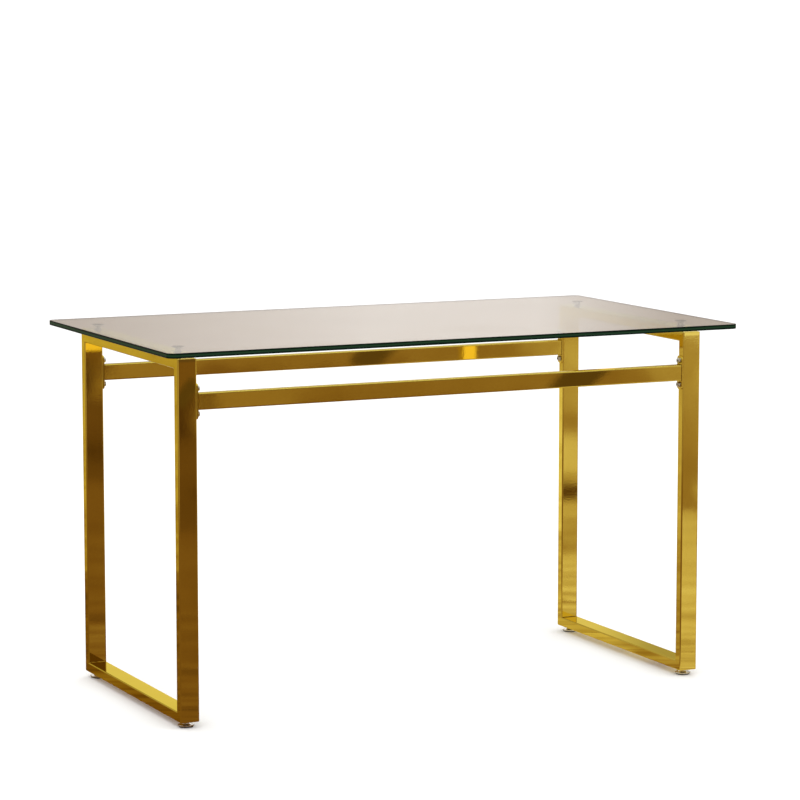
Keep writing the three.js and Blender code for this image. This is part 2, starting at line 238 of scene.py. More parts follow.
def arc(centre, radius, start, stop, steps):
    """Points on an arc in a (radius, height) profile; angles in degrees."""
    points = []
    for i in range(steps + 1):
        angle = math.radians(start + (stop - start) * i / steps)
        points.append((centre[0] + radius * math.cos(angle), centre[1] + radius * math.sin(angle)))
    return points


# ==== material helpers ====


class Nodes:
    """A short way to build the nodes of a material or of the world."""

    def __init__(self, tree):
        self.tree = tree
        self.shader = tree.nodes.get("Principled BSDF")

    def add(self, kind, **values):
        node = self.tree.nodes.new(kind)
        for key, value in values.items():
            setattr(node, key, value)
        return node

    def link(self, output, socket):
        self.tree.links.new(output, socket)

    def coordinates(self, scale=(1, 1, 1)):
        source = self.add("ShaderNodeTexCoord")
        mapping = self.add("ShaderNodeMapping")
        mapping.inputs["Scale"].default_value = scale
        self.link(source.outputs["Object"], mapping.inputs["Vector"])
        return mapping.outputs["Vector"]

    def noise(self, scale, detail=3.0, stretch=(1, 1, 1), roughness=0.5):
        node = self.add("ShaderNodeTexNoise")
        node.inputs["Scale"].default_value = scale
        node.inputs["Detail"].default_value = detail
        node.inputs["Roughness"].default_value = roughness
        self.link(self.coordinates(stretch), node.inputs["Vector"])
        return node.outputs["Fac"]

    def between(self, value, from_low, from_high, to_low, to_high):
        node = self.add("ShaderNodeMapRange")
        node.inputs["From Min"].default_value = from_low
        node.inputs["From Max"].default_value = from_high
        node.inputs["To Min"].default_value = to_low
        node.inputs["To Max"].default_value = to_high
        self.link(value, node.inputs["Value"])
        return node.outputs["Result"]

    def math(self, operation, a, b):
        node = self.add("ShaderNodeMath", operation=operation)
        for socket, value in zip(node.inputs, (a, b)):
            if isinstance(value, (int, float)):
                socket.default_value = value
            else:
                self.link(value, socket)
        return node.outputs["Value"]

    def colours(self, value, stops):
        ramp = self.add("ShaderNodeValToRGB")
        elements = ramp.color_ramp.elements
        while len(elements) < len(stops):
            elements.new(0.5)
        for element, (position, colour) in zip(elements, stops):
            element.position = position
            element.color = (*colour, 1)
        self.link(value, ramp.inputs["Fac"])
        return ramp.outputs["Color"]

    def bump(self, height, distance, under=None):
        node = self.add("ShaderNodeBump")
        node.inputs["Distance"].default_value = distance
        node.inputs["Strength"].default_value = 1.0
        self.link(height, node.inputs["Height"])
        if under is not None:
            self.link(under, node.inputs["Normal"])
        return node.outputs["Normal"]

    # The rest set a socket of the material's shader.

    def set(self, socket, value):
        self.shader.inputs[socket].default_value = value

    def set_colour(self, value, stops):
        self.link(self.colours(value, stops), self.shader.inputs["Base Color"])

    def set_roughness(self, value, low, high, from_low=0.3, from_high=0.7):
        rough = self.between(value, from_low, from_high, low, high)
        self.link(rough, self.shader.inputs["Roughness"])

    def set_bump(self, height, distance, under=None):
        self.link(self.bump(height, distance, under), self.shader.inputs["Normal"])


def new_material(name):
    """A material with its shader, and its nodes."""
    material = bpy.data.materials.new(name)
    material.use_nodes = True
    return material, Nodes(material.node_tree)


GLASS_IOR = 1.52
GOLD_AT_GRAZING = (0.88, 0.79, 0.37, 1)  # keeps the plating yellow where it is seen edge-on


def gold_material():
    """Mirror-polished gold plating with faint waves, wiping marks and thinner, redder patches."""
    material, nodes = new_material("gold_plating")
    nodes.set("Metallic", 1.0)
    nodes.set("Specular Tint", GOLD_AT_GRAZING)
    nodes.set_colour(nodes.noise(7.0, detail=4.0), [
        (0.30, (0.71, 0.53, 0.092)),
        (0.50, (0.75, 0.57, 0.108)),
        (0.72, (0.78, 0.60, 0.125)),
    ])
    smears = nodes.noise(26.0, detail=6.0, roughness=0.65)
    nodes.set_roughness(smears, 0.012, 0.045, 0.35, 0.70)
    waves = nodes.bump(nodes.noise(9.0, detail=1.0), 0.0004)
    nodes.set_bump(nodes.noise(420.0, detail=2.0), 0.00002, under=waves)
    return material


def shaded_weld_material():
    """The same plating over a weld bead, duller and with small ripples; browner and darker, partly
    the weld's own tint and partly painted shade of the inside corners.
    """
    material, nodes = new_material("gold_plated_weld_with_painted_shade")
    nodes.set("Metallic", 1.0)
    nodes.set("Specular Tint", GOLD_AT_GRAZING)
    # Dark brown base: partly the weld's own colour, partly painted shade where the welds sit in
    # inside corners.
    nodes.set_colour(nodes.noise(180.0, detail=3.0), [
        (0.35, (0.30, 0.165, 0.020)),
        (0.65, (0.46, 0.290, 0.045)),
    ])
    nodes.set_roughness(nodes.noise(300.0), 0.28, 0.45)
    nodes.set_bump(nodes.noise(520.0, detail=2.0), 0.00012)
    return material


def plated_steel(name, dark, light, rough_low, rough_high, grain):
    """Zinc or nickel plated steel with a fine grain and a cloudy sheen."""
    material, nodes = new_material(name)
    nodes.set("Metallic", 1.0)
    nodes.set_colour(nodes.noise(160.0, detail=4.0), [(0.3, dark), (0.7, light)])
    nodes.set_roughness(nodes.noise(grain, detail=4.0), rough_low, rough_high)
    nodes.set_bump(nodes.noise(grain * 2), 0.00003)
    return material


def sole_material():
    """Dark moulded rubber with a pebbled skin and dust worn into it."""
    material, nodes = new_material("dark_sole_rubber")
    nodes.set_colour(nodes.noise(220.0, detail=5.0), [
        (0.35, (0.010, 0.009, 0.009)),
        (0.75, (0.035, 0.031, 0.029)),
    ])
    nodes.set_roughness(nodes.noise(500.0), 0.42, 0.66)
    nodes.set_bump(nodes.noise(1500.0), 0.00008)
    return material


def pad_material():
    """Clear soft silicone, slightly clouded."""
    material, nodes = new_material("clear_silicone")
    nodes.set_colour(nodes.noise(150.0), [
        (0.3, (0.70, 0.63, 0.54)),
        (0.7, (0.80, 0.73, 0.63)),
    ])
    nodes.set("Transmission Weight", 0.50)
    nodes.set("IOR", 1.41)
    nodes.set_roughness(nodes.noise(240.0), 0.18, 0.34)
    return material


def glass_material():
    """Clear float glass with a faint green cast, roller waves and a few wiping marks."""
    material, nodes = new_material("clear_float_glass")
    nodes.set("Transmission Weight", 1.0)
    nodes.set("IOR", GLASS_IOR)
    nodes.set_colour(nodes.noise(2.0, detail=2.0), [
        (0.3, (0.915, 0.965, 0.940)),
        (0.7, (0.935, 0.975, 0.955)),
    ])
    wipes = nodes.noise(5.0, detail=5.0, stretch=(1, 2.5, 1), roughness=0.6)
    nodes.set_roughness(wipes, 0.0, 0.03, 0.45, 0.75)
    nodes.set_bump(nodes.noise(3.0, detail=0.0), 0.0002)
    return material


def painted_glass_edge_material():
    """Polished edge painted almost black, as painted shade for the length of green glass behind it,
    with a paler painted highlight band mid-way.
    """
    material, nodes = new_material("green_glass_edge_painted_shade_and_highlight")
    low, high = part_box("glass_top")
    source = nodes.add("ShaderNodeTexCoord")
    split = nodes.add("ShaderNodeSeparateXYZ")
    nodes.link(source.outputs["Object"], split.inputs["Vector"])
    up = nodes.between(split.outputs["Z"], low[2], high[2], 0.0, 1.0)
    cloud = nodes.between(nodes.noise(3.5, detail=3.0, stretch=(1, 1, 0)), 0.3, 0.7, -0.12, 0.12)
    # Painted shade towards both faces of the pane, a painted highlight band mid-way up the edge, and
    # a random cloud of tone.
    nodes.set_colour(nodes.math("ADD", up, cloud), [
        (0.05, (0.002, 0.005, 0.004)),
        (0.30, (0.005, 0.014, 0.008)),
        (0.52, (0.014, 0.038, 0.017)),
        (0.72, (0.005, 0.014, 0.007)),
        (0.95, (0.002, 0.005, 0.004)),
    ])
    nodes.set_roughness(nodes.noise(60.0), 0.10, 0.24)
    nodes.set("IOR", GLASS_IOR)
    nodes.set("Specular IOR Level", 0.015)
    nodes.set_bump(nodes.noise(90.0), 0.00004)
    return material


GOLD = gold_material()
SHADED_WELD = shaded_weld_material()
ZINC = plated_steel("bright_zinc", (0.56, 0.56, 0.55), (0.74, 0.74, 0.73), 0.16, 0.32, 420.0)
# The hex socket's faces: painted shade, darker steel standing in for the shade inside the recess.
SOCKET_PAINTED_SHADE = plated_steel("socket_shadow", (0.10, 0.10, 0.10), (0.22, 0.21, 0.20), 0.35, 0.55, 600.0)
NICKEL = plated_steel("bright_nickel", (0.60, 0.585, 0.56), (0.76, 0.745, 0.72), 0.06, 0.14, 260.0)
SOLE = sole_material()
PAD = pad_material()
GLASS = glass_material()
EDGE = painted_glass_edge_material()


# ==== end frames ====


def tube_end_rings(outline):
    """Rings of (across, depth, along) at one mitred end, from the straight tube to the mitre plane.

    depth is measured from the tube's outer face and along from the frame's outer corner.
    """
    rings = []
    groove = [
        (DRESSED + DRESSED_GROOVE_HALF, 0.0),
        (DRESSED, DRESSED_GROOVE),
        (DRESSED - DRESSED_GROOVE_HALF, 0.0),
    ]
    for start, sink in groove:
        ring = []
        for across, depth in outline:
            if depth < TUBE_CORNER:
                ring.append((across, sink + depth * (1 - sink / TUBE_CORNER), start))
            else:
                ring.append((across, depth, start + depth - TUBE_CORNER))
        rings.append(ring)
    for k in range(MITRE_STEPS + 1):
        angle = math.radians(45) * k / MITRE_STEPS
        ring = []
        for across, depth in outline:
            if depth < MITRE_ROUND:
                reach = MITRE_ROUND - depth
                new_depth = MITRE_ROUND - reach * math.cos(angle)
                along = MITRE_ROUND - reach * math.sin(angle)
            else:
                new_depth = depth
                along = depth
            if new_depth < DRESSED_SINK and k < MITRE_STEPS:
                new_depth = DRESSED_SINK
            ring.append((across, new_depth, along))
        rings.append(ring)
    return rings


def mitred_tube(bm, width, thickness, length, to_world):
    """A hollow tube with a 45 degree cut at both ends; to_world places (across, depth, along)."""
    outer = [(a, b + thickness / 2) for a, b in
             rounded_rectangle(width, thickness, TUBE_CORNER, CORNER_STEPS)]
    inner = [(a, b + thickness / 2) for a, b in
             rounded_rectangle(width - 2 * TUBE_WALL, thickness - 2 * TUBE_WALL,
                               TUBE_CORNER - TUBE_WALL, CORNER_STEPS)]
    start = tube_end_rings(outer)
    start.reverse()
    stop = [[(a, d, length - s) for a, d, s in ring] for ring in tube_end_rings(outer)]
    hollow_start = [(a, d, d) for a, d in inner]
    hollow_stop = [(a, d, length - d) for a, d in inner]
    loop = [*start, *stop, hollow_stop, hollow_start, start[0]]
    rings = [[to_world(*p) for p in ring] for ring in loop]
    add_rings(bm, rings)


def build_end_frame(side_name):
    """Four mitred tubes and the weld in each inside corner."""
    leg_low, leg_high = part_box(f"{side_name}_front_leg")
    front = leg_low[1]
    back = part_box(f"{side_name}_back_leg")[1][1]
    floor_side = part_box(f"{side_name}_bottom_bar")[0][2]
    glass_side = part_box(f"{side_name}_top_bar")[1][2]
    middle = (leg_low[0] + leg_high[0]) / 2
    width = leg_high[0] - leg_low[0]
    thickness = leg_high[1] - leg_low[1]
    height = glass_side - floor_side
    depth_of_frame = back - front
    places = {
        "front_leg": (height, lambda a, d, s: (middle + a, front + d, floor_side + s)),
        "back_leg": (height, lambda a, d, s: (middle + a, back - d, floor_side + s)),
        "bottom_bar": (depth_of_frame, lambda a, d, s: (middle + a, front + s, floor_side + d)),
        "top_bar": (depth_of_frame, lambda a, d, s: (middle + a, front + s, glass_side - d)),
    }
    for part, (length, to_world) in places.items():
        bm = bmesh.new()
        mitred_tube(bm, width, thickness, length, to_world)
        node = f"{side_name}_{part}"
        finish_mesh(f"{node}_tube", bm, [GOLD], FIXED, [node])
    for end_name, end in ENDS.items():
        corner_y = (front + thickness) if end < 0 else (back - thickness)
        for level_name, level in LEVELS.items():
            corner_z = (glass_side - thickness) if level > 0 else (floor_side + thickness)
            bm = bmesh.new()
            inside_fillet(bm, middle, width - 2 * TUBE_CORNER, corner_y, -end, corner_z, -level)
            finish_mesh(f"{side_name}_{end_name}_{level_name}_corner_weld", bm, [SHADED_WELD],
                        FIXED, [])


def inside_fillet(bm, middle, width, y, toward_y, z, toward_z):
    """A concave weld strip in an inside corner, running across the tube's width."""
    section = [(-WELD_SINK, -WELD_SINK), (FILLET, -WELD_SINK)]
    for i in range(FILLET_STEPS + 1):
        angle = math.radians(270 - 90 * i / FILLET_STEPS)
        section.append((FILLET + FILLET * math.cos(angle), FILLET + FILLET * math.sin(angle)))
    section.append((-WELD_SINK, FILLET))
    rings = []
    for column in range(FILLET_COLUMNS + 1):
        across = middle + width * (column / FILLET_COLUMNS - 0.5)
        swell = 1 + 0.06 * math.sin(column * 2.1) + 0.04 * math.sin(column * 0.9 + 1.0)
        from_start = FILLET_START + column * FILLET_GROWTH
        from_stop = FILLET_START + (FILLET_COLUMNS - column) * FILLET_GROWTH
        grow = swell * min(1.0, from_start, from_stop)
        ring = []
        for a, b in section:
            out = a * grow if a > 0 else a
            up = b * grow if b > 0 else b
            ring.append((across, y + toward_y * out, z + toward_z * up))
        rings.append(ring)
    made = add_rings(bm, rings)
    bm.faces.new(made[0])
    bm.faces.new(made[-1])


# ==== rails and their plates ====


def build_rail(end_name):
    """Hollow rail between its two end plates."""
    node = f"{end_name}_rail"
    low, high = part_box(node)
    middle_y, middle_z = (low[1] + high[1]) / 2, (low[2] + high[2]) / 2
    depth, height = high[1] - low[1], high[2] - low[2]
    reach = high[0] + TOUCH_GAP
    outer = rounded_rectangle(depth, height, TUBE_CORNER, CORNER_STEPS)
    inner = rounded_rectangle(depth - 2 * TUBE_WALL, height - 2 * TUBE_WALL,
                              TUBE_CORNER - TUBE_WALL, CORNER_STEPS)
    loop = [(outer, -reach), (outer, reach), (inner, reach), (inner, -reach), (outer, -reach)]
    rings = [[(x, middle_y + a, middle_z + b) for a, b in outline] for outline, x in loop]
    bm = bmesh.new()
    add_rings(bm, rings)
    finish_mesh(f"{end_name}_rail_tube", bm, [GOLD], FIXED, [node])
    for side_name, side in SIDES.items():
        bm = bmesh.new()
        rail_weld(bm, side * reach, -side, middle_y, middle_z, depth, height)
        finish_mesh(f"{end_name}_{side_name}_rail_weld", bm, [SHADED_WELD], FIXED, [])


def rail_weld(bm, x, inward, middle_y, middle_z, depth, height):
    """A rippled bead round the rail where it meets its end plate."""
    outline = dense_outline(depth, height, TUBE_CORNER, BEAD_COLUMNS)
    rings = []
    for i in range(len(outline)):
        a, b = outline[i]
        before, after = outline[i - 1], outline[(i + 1) % len(outline)]
        run = Vector((after[0] - before[0], after[1] - before[1])).normalized()
        outward = Vector((run.y, -run.x))
        phase = 2 * math.pi * i * BEAD_RIPPLES / len(outline)
        size = BEAD * (1 + 0.10 * math.sin(phase) + 0.08 * math.sin(i * 0.23))
        section = []
        for k in range(BEAD_STEPS + 1):
            angle = math.radians(90 * k / BEAD_STEPS)
            out = size * math.cos(angle) ** BEAD_ROUNDNESS
            along = size * math.sin(angle) ** BEAD_ROUNDNESS
            section.append((out, along))
        section.append((-WELD_SINK, size * 0.9))
        section.append((-WELD_SINK, 0.0))
        rings.append([
            (x + inward * along, middle_y + a + outward.x * out, middle_z + b + outward.y * out)
            for out, along in section
        ])
    rings.append(rings[0])
    add_rings(bm, rings)


def dense_outline(width, height, radius, count):
    """Evenly spaced points round a rounded rectangle."""
    corners = rounded_rectangle(width, height, radius, 12)
    lengths = [0.0]
    closed = [*corners, corners[0]]
    for p, q in zip(closed, closed[1:]):
        lengths.append(lengths[-1] + math.dist(p, q))
    points = []
    at = 0
    for i in range(count):
        target = lengths[-1] * i / count
        while lengths[at + 1] < target:
            at += 1
        span = lengths[at + 1] - lengths[at]
        t = (target - lengths[at]) / span if span > 0 else 0
        p, q = closed[at], closed[at + 1]
        points.append((p[0] + (q[0] - p[0]) * t, p[1] + (q[1] - p[1]) * t))
    return points


def build_end_plate(end_name, side_name, side):
    """Flat plate with rounded ends, eased edges and two bolt holes, from a filled outline."""
    node = f"{end_name}_{side_name}_end_plate"
    low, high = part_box(node)
    thickness = high[0] - low[0] + TOUCH_GAP
    middle_x = (low[0] + high[0]) / 2 + side * TOUCH_GAP / 2
    middle_y, middle_z = (low[1] + high[1]) / 2, (low[2] + high[2]) / 2
    curve = bpy.data.curves.new(f"{node}_outline", "CURVE")
    curve.dimensions = "2D"
    curve.fill_mode = "BOTH"
    curve.extrude = thickness / 2 - PLATE_EDGE
    curve.bevel_depth = PLATE_EDGE
    curve.bevel_resolution = 2
    width, height = high[1] - low[1], high[2] - low[2]
    edge = rounded_rectangle(width - 2 * PLATE_EDGE, height - 2 * PLATE_EDGE,
                             PLATE_CORNER - PLATE_EDGE, PLATE_CORNER_STEPS)
    add_loop(curve, edge)
    hole_radius = PLATE_HOLE + PLATE_EDGE
    for level in LEVELS.values():
        hole = []
        for i in range(PLATE_HOLE_SEGMENTS):
            angle = -2 * math.pi * i / PLATE_HOLE_SEGMENTS
            hole.append((hole_radius * math.cos(angle),
                         level * BOLT_PITCH / 2 + hole_radius * math.sin(angle)))
        add_loop(curve, hole)
    holder = bpy.data.objects.new(f"{node}_holder", curve)
    bpy.context.scene.collection.objects.link(holder)
    bpy.context.view_layer.update()
    finished = holder.evaluated_get(bpy.context.evaluated_depsgraph_get())
    mesh = bpy.data.meshes.new_from_object(finished)
    bpy.data.objects.remove(holder)
    bm = bmesh.new()
    bm.from_mesh(mesh)
    for vert in bm.verts:
        y, z, x = vert.co
        vert.co = (middle_x + x, middle_y + y, middle_z + z)
    finish_mesh(f"{node}_solid", bm, [GOLD], FIXED, [node])


def add_loop(curve, points):
    """Adds a closed outline to the curve."""
    spline = curve.splines.new("POLY")
    spline.points.add(len(points) - 1)
    for point, (a, b) in zip(spline.points, points):
        point.co = (a, b, 0, 1)
    spline.use_cyclic_u = True


def bolt_profile():
    """(radius, height) from the bottom of the socket, over the domed head, to the shank's end."""
    top = -(HEAD_HEIGHT + FLANGE_HEIGHT)
    dome = 2.2 * MM
    profile = [(0.0, top + SOCKET_DEPTH + 0.5 * MM), (SOCKET_FLAT, top + SOCKET_DEPTH)]
    profile += [(SOCKET_FLAT, top + 0.35 * MM), (SOCKET_FLAT + 0.3 * MM, top + 0.06 * MM)]
    profile += [(BOLT_HEAD - dome - 0.3 * MM, top)]
    profile += arc((BOLT_HEAD - dome, top + dome), dome, -88, 0, 9)
    profile += [(BOLT_HEAD, -FLANGE_HEIGHT - 0.35 * MM), (BOLT_HEAD + 0.15 * MM, -FLANGE_HEIGHT)]
    profile += [(BOLT_FLANGE - 0.3 * MM, -FLANGE_HEIGHT * 0.95)]
    profile += arc((BOLT_FLANGE - 0.3 * MM, -FLANGE_HEIGHT * 0.62), 0.3 * MM, -90, 0, 3)
    profile += [(BOLT_FLANGE, -0.1 * MM), (BOLT_FLANGE - 0.1 * MM, 0.0), (BOLT_SHANK, 0.0)]
    profile += [(BOLT_SHANK, BOLT_LENGTH - 0.8 * MM), (BOLT_SHANK - 0.8 * MM, BOLT_LENGTH)]
    profile += [(0.0, BOLT_LENGTH)]
    return profile


def hexagon(radius, height, angle):
    """Bends the rings inside the head into a hexagon; everything else stays round."""
    if radius > SOCKET_FLAT * 1.01 or height > 0:
        return radius
    turn = (angle % (math.pi / 3)) - math.pi / 6
    return radius / math.cos(turn)


def build_bolt(end_name, side_name, side, level_name):
    """Bolt with a domed head and painted shade in its hex socket, from its head to its shank's end.
    """
    node = f"{end_name}_{side_name}_{level_name}_bolt"
    low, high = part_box(node)
    plate_low, plate_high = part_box(f"{end_name}_{side_name}_end_plate")
    plate_face = plate_low[0] if side > 0 else plate_high[0]
    middle_y, middle_z = (low[1] + high[1]) / 2, (low[2] + high[2]) / 2
    bm = bmesh.new()
    turned(bm, bolt_profile(), BOLT_SEGMENTS, along_x(side, (plate_face, middle_y, middle_z)),
           hexagon)
    piece = finish_mesh(f"{node}_body", bm, [ZINC, SOCKET_PAINTED_SHADE], FIXED, [node],
                        sharp_degrees=40)
    head_top = plate_face - side * (HEAD_HEIGHT + FLANGE_HEIGHT)
    # Faces inside the socket get the painted shade.
    for face in piece.data.polygons:
        depth = (face.center.x - head_top) * side
        off_axis = math.hypot(face.center.y - middle_y, face.center.z - middle_z)
        if 0.3 * MM < depth < 4 * MM and off_axis < SOCKET_FLAT * HEX_FULLNESS:
            face.material_index = 1


# ==== feet ====


def build_foot(end_name, side_name):
    """Sole, cup and stud of one foot, and the insert in the bar over it."""
    body = f"{end_name}_{side_name}_foot"
    low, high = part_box(f"{body}_cup")
    place = moved((low[0] + high[0]) / 2, (low[1] + high[1]) / 2, 0)
    turned_piece(f"{body}_sole_pad", sole_profile(), FOOT_SEGMENTS, place, SOLE,
                 body, f"{body}_sole")
    turned_piece(f"{body}_cup_shell", cup_profile(), FOOT_SEGMENTS, place, NICKEL,
                 body, f"{body}_cup")
    bm = bmesh.new()
    threaded_stud(bm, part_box(f"{body}_stud")[1][2], place)
    finish_mesh(f"{body}_stud_thread", bm, [ZINC], body, [f"{body}_stud"],
                sharp_degrees=60)
    insert_low, insert_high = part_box(f"{body}_insert")
    turned_piece(f"{body}_insert_body", insert_profile(insert_low[2], insert_high[2]),
                 FOOT_SEGMENTS, place, ZINC, FIXED, f"{body}_insert")


def sole_profile():
    """Sole with a rounded lower edge and three shallow rings moulded into its underside."""
    profile = [(0.0, 0.5 * MM), (3.0 * MM, 0.5 * MM), (3.3 * MM, 0.0)]
    for ring in (5.5, 8.2, 10.9):
        profile += [(ring * MM, 0.0), ((ring + 0.25) * MM, 0.35 * MM)]
        profile += [((ring + 0.75) * MM, 0.35 * MM), ((ring + 1.0) * MM, 0.0)]
    profile += arc((13.3 * MM, 1.0 * MM), 1.0 * MM, -90, -8, 5)
    profile += [(14.6 * MM, 2.4 * MM), (14.85 * MM, 3.3 * MM), (14.0 * MM, 3.6 * MM), (0.0, 3.6 * MM)]
    return profile


def cup_profile():
    """Pressed cup: rolled rim, dished web and a collar round the stud, as a closed section."""
    profile = [(14.9 * MM, 2.75 * MM), (15.2 * MM, 2.6 * MM), (15.7 * MM, 2.7 * MM)]
    profile += arc((15.25 * MM, 3.95 * MM), 1.25 * MM, -60, 78, 9)
    profile += [(14.6 * MM, 5.25 * MM), (13.6 * MM, 5.05 * MM), (11.5 * MM, 5.0 * MM)]
    profile += [(9.0 * MM, 5.15 * MM), (7.7 * MM, 5.55 * MM), (6.9 * MM, 6.3 * MM)]
    profile += [(6.55 * MM, 7.3 * MM), (6.5 * MM, 8.2 * MM), (6.2 * MM, 8.55 * MM)]
    profile += [(5.6 * MM, 8.6 * MM), (4.15 * MM, 8.5 * MM), (4.15 * MM, 4.4 * MM)]
    profile += [(14.0 * MM, 4.2 * MM), (14.9 * MM, 3.8 * MM), (14.9 * MM, 2.75 * MM)]
    return profile


def insert_profile(bottom, top):
    """Flanged threaded insert; its flange touches the bar."""
    flange_top = bottom + 0.8 * MM + TOUCH_GAP
    bore = 4.1 * MM
    profile = [(bore, bottom + 0.3 * MM), (bore + 0.3 * MM, bottom)]
    profile += arc((7.6 * MM, bottom + 0.4 * MM), 0.4 * MM, -90, 0, 4)
    profile += [(8.0 * MM, flange_top), (5.4 * MM, flange_top), (5.4 * MM, top)]
    profile += [(bore, top), (bore, bottom + 0.3 * MM)]
    return profile


def threaded_stud(bm, top, place):
    """Stud with a real helical thread, made as a fine grid whose radius follows the helix."""
    rows = int((top - THREAD_START) / STUD_PITCH * STUD_ROWS_PER_PITCH)
    loops = [
        [(0, 0, STUD_HEAD_BOTTOM)],
        circle(STUD_HEAD, STUD_HEAD_BOTTOM, STUD_SEGMENTS),
        circle(STUD_HEAD, STUD_HEAD_TOP, STUD_SEGMENTS),
        circle(STUD_CREST, STUD_HEAD_TOP, STUD_SEGMENTS),
        circle(STUD_CREST, THREAD_START - 0.2 * MM, STUD_SEGMENTS),
    ]
    for row in range(rows + 1):
        z = THREAD_START + (top - THREAD_START) * row / rows
        ring = []
        fade = min(1.0, row / 10, (rows - row) / 8)
        shrink = STUD_ROOT if (rows - row) < 6 else STUD_CREST
        for i in range(STUD_SEGMENTS):
            angle = 2 * math.pi * i / STUD_SEGMENTS
            phase = (z / STUD_PITCH - i / STUD_SEGMENTS) % 1.0
            crest = 1 - abs(2 * phase - 1)
            crest = min(1.0, max(0.0, crest * 1.35 - 0.12))
            cut = STUD_ROOT + (STUD_CREST - STUD_ROOT) * crest
            radius = shrink + (cut - shrink) * fade
            ring.append((radius * math.cos(angle), radius * math.sin(angle), z))
        loops.append(ring)
    loops.append([(0, 0, top)])
    made = [[bm.verts.new(p) for p in ring] for ring in loops]
    join_loops(bm, made, STUD_SEGMENTS)
    bmesh.ops.transform(bm, matrix=place, verts=bm.verts)


def circle(radius, z, segments):
    """Points of a level circle round the Z axis."""
    points = []
    for i in range(segments):
        angle = 2 * math.pi * i / segments
        points.append((radius * math.cos(angle), radius * math.sin(angle), z))
    return points


# ==== glass and pads ====


def build_glass():
    """The pane: clear faces, and a polished edge with rounded arrises in its own material."""
    low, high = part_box("glass_top")
    width, depth = high[0] - low[0], high[1] - low[1]
    bottom, top = low[2], high[2]
    levels = []
    for i in range(GLASS_ARRIS_STEPS + 1):
        angle = math.radians(90 * i / GLASS_ARRIS_STEPS)
        inset = GLASS_ARRIS * (1 - math.sin(angle))
        levels.append((inset, bottom + GLASS_ARRIS * (1 - math.cos(angle))))
    levels += [(inset, top + bottom - z) for inset, z in reversed(levels)]
    rings = []
    for inset, z in levels:
        outline = rounded_rectangle(width - 2 * inset, depth - 2 * inset, GLASS_CORNER - inset,
                                    GLASS_CORNER_STEPS)
        rings.append([(x, y, z) for x, y in outline])
    bm = bmesh.new()
    made = add_rings(bm, rings)
    for face in bm.faces:
        face.material_index = 1
    for ring in (made[0], made[-1]):
        face = bm.faces.new(ring)
        face.material_index = 0
    piece = finish_mesh("glass_pane", bm, [GLASS, EDGE], FIXED, ["glass_top"],
                        sharp_degrees=60)
    piece.visible_shadow = False


def build_pad(node):
    """Clear silicone spacer: a cup under the glass, a neck, a flange and a barbed plug."""
    low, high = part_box(node)
    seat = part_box(f"{node.split('_')[0]}_top_bar")[1][2]
    top = high[2] + TOUCH_GAP
    under_wall = seat - TUBE_WALL - TOUCH_GAP
    cup = (high[0] - low[0]) / 2
    profile = [(0.0, low[2]), (PAD_STEM - 0.9 * MM, low[2])]
    profile += [(PAD_STEM - 0.3 * MM, low[2] + 0.4 * MM), (PAD_BARB, under_wall - 0.7 * MM)]
    profile += [(PAD_BARB - 0.1 * MM, under_wall), (PAD_STEM, under_wall)]
    profile += [(PAD_STEM, seat), (PAD_FLANGE - 0.5 * MM, seat)]
    profile += arc((PAD_FLANGE - 0.6 * MM, seat + 0.6 * MM), 0.6 * MM, -60, 80, 5)
    profile += arc((PAD_NECK + 2.0 * MM, seat + 3.4 * MM), 2.0 * MM, 250, 180, 5)
    profile += arc((PAD_NECK + 2.4 * MM, seat + 5.6 * MM), 2.4 * MM, 180, 110, 5)
    profile += [(cup - 1.6 * MM, top - 1.5 * MM)]
    profile += arc((cup - 0.6 * MM, top - 0.6 * MM), 0.6 * MM, -60, 70, 5)
    profile += [(cup - 1.2 * MM, top), (0.0, top)]
    place = moved((low[0] + high[0]) / 2, (low[1] + high[1]) / 2, 0)
    turned_piece(f"{node}_cup", profile, PAD_SEGMENTS, place, PAD, FIXED, node)


# ==== studio ====


def plane(name, size_x, size_y, place):
    """A flat rectangle of the studio, lying level until it is turned."""
    mesh = bpy.data.meshes.new(name)
    x, y = size_x / 2, size_y / 2
    mesh.from_pydata([(-x, -y, 0), (x, -y, 0), (x, y, 0), (-x, y, 0)], [], [(0, 1, 2, 3)])
    made = bpy.data.objects.new(name, mesh)
    made.location = place
    bpy.context.scene.collection.objects.link(made)
    return made


FLOOR_SIZE = 240
FLOOR_DROP = 0.2 * MM  # keeps the soles clear of the drawn floor
NEAR_FLOOR = 2.2  # through the glass, the floor turns from pale to brown between these distances
FAR_FLOOR = 4.6


def build_floor():
    """Pale floor; seen through the glass it darkens far behind the table, as a room's floor does."""
    floor = plane("pale_floor", FLOOR_SIZE, FLOOR_SIZE, (0, 0, -FLOOR_DROP))
    floor.data.materials.append(floor_material())
    floor.visible_glossy = False
    floor.visible_transmission = False
    behind = plane("floor_through_glass", FLOOR_SIZE, FLOOR_SIZE, (0, 0, -FLOOR_DROP))
    behind.data.materials.append(floor_through_glass_material())
    behind.visible_camera = False
    behind.visible_diffuse = False
    behind.visible_glossy = False
    behind.visible_shadow = False


def floor_material():
    """Matt, almost white, very slightly uneven."""
    material, nodes = new_material("pale_floor_paint")
    nodes.set_colour(nodes.noise(0.8, detail=2.0), [
        (0.3, (0.92, 0.92, 0.92)),
        (0.7, (0.94, 0.94, 0.94)),
    ])
    nodes.set("Roughness", 0.9)
    nodes.set("Specular IOR Level", 0.1)
    return material


